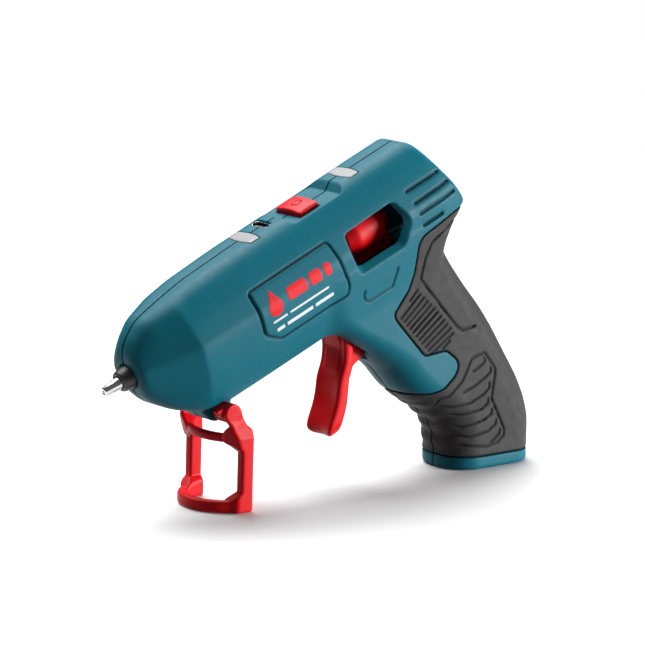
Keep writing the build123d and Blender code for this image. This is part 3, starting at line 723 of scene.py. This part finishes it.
def trigger_piece():
    """Finger flange with a hollow front and full rims, on a narrower web, hub and slotted arm."""
    grid = Grid((75.0, -8.4, -67.5), (110.5, 8.4, -4.0), 0.34)
    hollow = 1.1 * np.clip(1 - (grid.y / 6.6) ** 2, 0, 1) ** 1.2
    flange = outline_distance(grid.x - hollow, grid.z, FLANGE)
    flange = high_of(flange, np.abs(grid.y) - 7.5, 2.2)
    tip = np.sqrt(np.maximum(np.abs(grid.y) - 1.2, 0) ** 2 + np.maximum(-59.0 - grid.z, 0) ** 2) - 6.3
    flange = high_of(flange, tip, 0.8)
    web = high_of(outline_distance(grid.x, grid.z, WEB), np.abs(grid.y) - 4.5, 1.2)
    hub = pin_distance(grid, PIVOT)
    trigger = low_of(low_of(flange, web, 0.8), high_of(hub - 4.8, np.abs(grid.y) - 4.7, 0.6), 0.4)
    across = (grid.x - PIVOT[0]) * cos(HALF_SWING) - (grid.z - PIVOT[1]) * sin(HALF_SWING)
    along = (grid.x - PIVOT[0]) * sin(HALF_SWING) + (grid.z - PIVOT[1]) * cos(HALF_SWING)
    reach = ARM_LENGTH / cos(HALF_SWING)
    arm = np.sqrt(across ** 2 + np.maximum(np.maximum(-along, along - reach), 0) ** 2) - 3.3
    trigger = low_of(trigger, high_of(arm, np.abs(grid.y) - 1.5, 0.4), 0.6)
    slot_end = np.maximum(np.maximum(reach - 1.6 - along, along - reach - 1.2), 0)
    trigger = cut(trigger, np.sqrt(across ** 2 + slot_end ** 2) - 1.6)
    trigger = cut(trigger, hub - PIN_R - RUN_CLEAR)
    finish_piece(field_mesh("trigger_lever", grid, trigger), "trigger", "red_plastic", RED, "trigger")


def carriage_piece():
    """Feed carriage: a drum round the glue stick, chamfered in front, with a keel under it."""
    grid = Grid((100.4, -10.0, -12.4), (135.0, 10.0, 10.0), 0.3)
    radius = np.sqrt(grid.y ** 2 + grid.z ** 2)
    ends = np.maximum(112.4 - grid.x, grid.x - 130.2)
    drum = high_of(high_of(radius - 9.0, ends, 2.2), radius - 7.0 - 0.45 * (grid.x - 112.4), 0.5)
    neck = high_of(radius - 5.4, np.maximum(110 - grid.x, grid.x - 134), 0.6)
    keel = box_distance(grid, (101.4, 134), (-3, 3), (-11.6, -5.8), 0.4)
    body = low_of(low_of(drum, neck, 0.4), keel, 0.6)
    body = cut(body, radius - 4.1, 0.3)
    body = cut(body, box_distance(grid, (99, 110), (-1.9, 1.9), (-14, -4)), 0.2)
    body = cut(body, box_distance(grid, (118, 136), (-2.2, 2.2), (-14, -3)), 0.2)
    finish_piece(field_mesh("carriage_drum", grid, body), "carriage", "red_plastic", RED, "feed_carriage")


def bow_field(grid, front, depth, low, high):
    """Cross bar between two heights that bows forward from leg to leg, drawn about the stand's pin."""
    root, half = 4.1, 16.4
    rise, inner_rise, inner_half = root + front, root + front - depth, half - depth
    radius, inner = ((h * h + r * r) / (2 * r) for h, r in ((half, rise), (inner_half, inner_rise)))
    outside = np.sqrt((grid.x + front - radius) ** 2 + grid.y ** 2) - radius
    inside = inner - np.sqrt((grid.x + front - depth - inner) ** 2 + grid.y ** 2)
    band = high_of(outside, inside, 0.8)
    band = high_of(band, np.maximum(low - grid.z, grid.z - high), 1.2)
    return np.maximum(band, grid.x - 9.5)


GUSSET = 3.2                            # bevel in the corners between legs and bars
BAR_HEIGHT = 4.2                        # of the lower bar


def stand_piece():
    """Folding stand: two legs on hinge discs, joined by two bowed bars."""
    floor = -36.06
    grid = Grid((-10.2, -18.0, floor - 0.8), (9.4, 18.0, 5.0), 0.32)
    out = np.abs(grid.y)
    leg_outline = rounded([(2.9, floor), (9.5, floor), (9.5, -12.07), (3.4, 1.4), (-2.6, -2.4),
                           (2.9, -11.6)], 0.8)
    leg_side = outline_distance(grid.x, grid.z, leg_outline)
    outer = 14.9 + 2.1 * np.clip((-grid.z - 2.5) / 6.5, 0, 1)
    leg = high_of(leg_side, 13.3 - out, 1.0)
    bows = low_of(bow_field(grid, 4.2, 3.0, -11.0, -7.8),
                  bow_field(grid, 8.8, 3.6, floor, floor + BAR_HEIGHT))
    frame_form = np.minimum(low_of(leg, bows, 2.0), (leg + bows - GUSSET) * 0.7071)
    frame_form = high_of(frame_form, high_of(out - outer, grid.x - 8.2, 1.2), 1.2)
    disc = np.sqrt(grid.x ** 2 + grid.z ** 2)
    boss = high_of(disc - 3.6, np.maximum(7.0 - out, out - 15.0), 0.6)
    tooth = outline_distance(grid.x, grid.z, [(-6.8, 1.0), (-2.4, 3.0), (-2.4, -2.2)])
    boss = low_of(boss, high_of(tooth, np.maximum(10.8 - out, out - 13.4), 0.4), 0.6)
    stand = low_of(frame_form, boss, 0.7)
    stand = high_of(stand, floor - grid.z, 0.6)
    stand = cut(stand, np.maximum(disc - PIN_R - RUN_CLEAR, out - 13.0))
    pin = to_frame([(STAND_PIN[0], 0, STAND_PIN[1])])[0]
    piece = field_mesh("folding_stand", grid, stand, place=lambda points: points * MM + pin)
    finish_piece(piece, "stand", "red_plastic", RED, "stand")


trigger_piece()
carriage_piece()
stand_piece()


# --- turned pieces -----------------------------------------------------------------------------
def bevelled(rings, size):
    """Turning profile with every corner cut back a little."""
    out = []
    count = len(rings)
    for i, here in enumerate(rings):
        here = np.array(here, float)
        for other in (rings[i - 1], rings[(i + 1) % count]):
            arm = np.array(other, float) - here
            length = np.hypot(*arm)
            out.append(tuple(here + arm / length * min(size, 0.45 * length)))
    return out


NOZZLE = [(0, 0.8), (0, 1.7), (7, 2.35), (21, 2.35), (21, 5), (26.8, 5), (26.8, 3), (34, 3), (34, 1.6),
          (6.5, 1.6), (5, 0.8)]
COLLAR = [(7.1, 2.5), (7.1, 3.5), (7.9, 3.9), (12.1, 4.6), (14.2, 4.6), (14.2, 5.5), (20, 5.5), (20, 2.5)]
INLET = [(147.5, 3.9), (147.5, 5.45), (152.4, 5.45), (152.4, 8.1), (154.4, 8.1), (156.5, 5.5), (156.5, 4.6),
         (155.6, 3.9)]
finish_piece(lathe("nozzle_tip", bevelled(NOZZLE, 0.15)), "gun_body", "bright_steel", CHROME, "nozzle")
finish_piece(lathe("nozzle_collar_ring", bevelled(COLLAR, 0.25)), "gun_body", "black_plastic", BLACK,
             "nozzle_collar")
finish_piece(lathe("stick_inlet_ring", bevelled(INLET, 0.25)), "gun_body", "black_plastic", BLACK,
             "rear_inlet")


# --- printed decoration ----------------------------------------------------------------------------
DROP_ARC = np.linspace(-0.68 * pi, 0.68 * pi, 17)
DROP = [(66.5 + 3.3 * sin(a), 1.2 - 3.3 * cos(a)) for a in DROP_ARC] + [(66.5, 8.0)]
BEADS = [rounded([(a, 0.4), (b, 0.4), (b, 5.4), (a, 5.4)], 1.6)
         for a, b in ((72.6, 82.0), (83.4, 89.2), (90.6, 94.0))]
BARS = [rounded([(a, z), (b, z), (b, z + high), (a, z + high)], 0.3)
        for a, b, z, high in ((63.6, 70.5, -4.2, 1.0), (71.7, 90.8, -4.2, 1.0), (64.6, 68.4, -8.1, 1.5),
                              (69.6, 82.2, -8.1, 1.5), (83.4, 92.4, -8.1, 1.5))]


def decal(name, outlines, material):
    """Thin ink on the raised label pad of the left side: plain shapes, no lettering."""
    grid = Grid((61.5, -20.2, -10.0), (95.5, -16.2, 9.5), 0.17)
    shapes = np.minimum.reduce([outline_distance(grid.x, grid.z, points) for points in outlines])
    skin = barrel_field(grid) - PAD_RISE
    ink = np.maximum(shapes, np.maximum(skin - 0.07, -skin - 0.25))
    finish_piece(field_mesh(name, grid, ink), "gun_body", "lamp_lens", material)


decal("pad_print_red", [DROP, *BEADS], INK_RED)
decal("pad_print_white", BARS, INK_WHITE)


# --- camera ----------------------------------------------------------------------------------
def add_camera():
    """Long lens from the front left, a little above the tool."""
    azimuth, elevation, roll, distance = radians(39.3), radians(10.74), radians(-1.58), 1.2
    back = Vector((-sin(azimuth) * cos(elevation), -cos(azimuth) * cos(elevation), sin(elevation)))
    right = Vector((cos(azimuth), -sin(azimuth), 0))
    up = back.cross(right)
    up, right = cos(roll) * up + sin(roll) * right, cos(roll) * right - sin(roll) * up
    aim = Vector((-0.09305, 0, 0.07113))
    camera = bpy.data.objects.new("camera", bpy.data.cameras.new("camera"))
    camera.data.lens = 185.5
    camera.data.shift_x, camera.data.shift_y = 0.0504, -0.0349
    turn = Matrix((right, up, back)).transposed().to_4x4()
    camera.matrix_world = Matrix.Translation(aim + distance * back) @ turn
    bpy.context.scene.collection.objects.link(camera)
    bpy.context.scene.camera = camera


def add_light(name, spot, aim, size, power):
    """Soft rectangular light, turned to the point that it aims at."""
    light = bpy.data.lights.new(name, "AREA")
    light.shape = "RECTANGLE"
    light.size, light.size_y = size
    light.energy = power
    lamp = bpy.data.objects.new(name, light)
    lamp.location = spot
    lamp.rotation_euler = (Vector(aim) - Vector(spot)).to_track_quat("-Z", "Y").to_euler()
    bpy.context.scene.collection.objects.link(lamp)


def add_floor():
    """Pale floor. Beyond its edge the white backdrop goes on at the same brightness."""
    size = 0.62
    points = [(-size, -size, 0), (size, -size, 0), (size, size, 0), (-size, size, 0)]
    floor = mesh_object("floor", np.array(points, float), np.array([[0, 1, 2, 3]]), smooth=False)
    floor.location.z = -0.0002
    floor.visible_diffuse = False
    floor.data.materials.append(finish_material("studio_floor", (0.93, 0.93, 0.93), (0.92, 0.92, 0.92),
                                                (0.6, 0.7), 50.0, 0.02))


AMBIENT = 0.12                          # light that the backdrop throws on the object


def add_world():
    """White backdrop that lights the object only softly."""
    world = bpy.data.worlds.new("studio")
    world.use_nodes = True
    nodes, links = world.node_tree.nodes, world.node_tree.links
    seen = nodes.new("ShaderNodeLightPath")
    strength = nodes.new("ShaderNodeMapRange")
    strength.inputs["To Min"].default_value = AMBIENT
    strength.inputs["To Max"].default_value = 1.0
    links.new(seen.outputs["Is Camera Ray"], strength.inputs["Value"])
    links.new(strength.outputs["Result"], nodes["Background"].inputs["Strength"])
    nodes["Background"].inputs["Color"].default_value = (1, 1, 1, 1)
    bpy.context.scene.world = world


add_camera()
add_floor()
add_world()
add_light("overhead", (-0.05, 0.45, 1.05), (-0.07, 0.05, 0.06), (1.2, 0.9), 26)
add_light("right_side", (0.78, -0.88, 0.17), (-0.07, 0, 0.07), (0.5, 0.32), 21)
bpy.context.scene.view_settings.view_transform = "Standard"
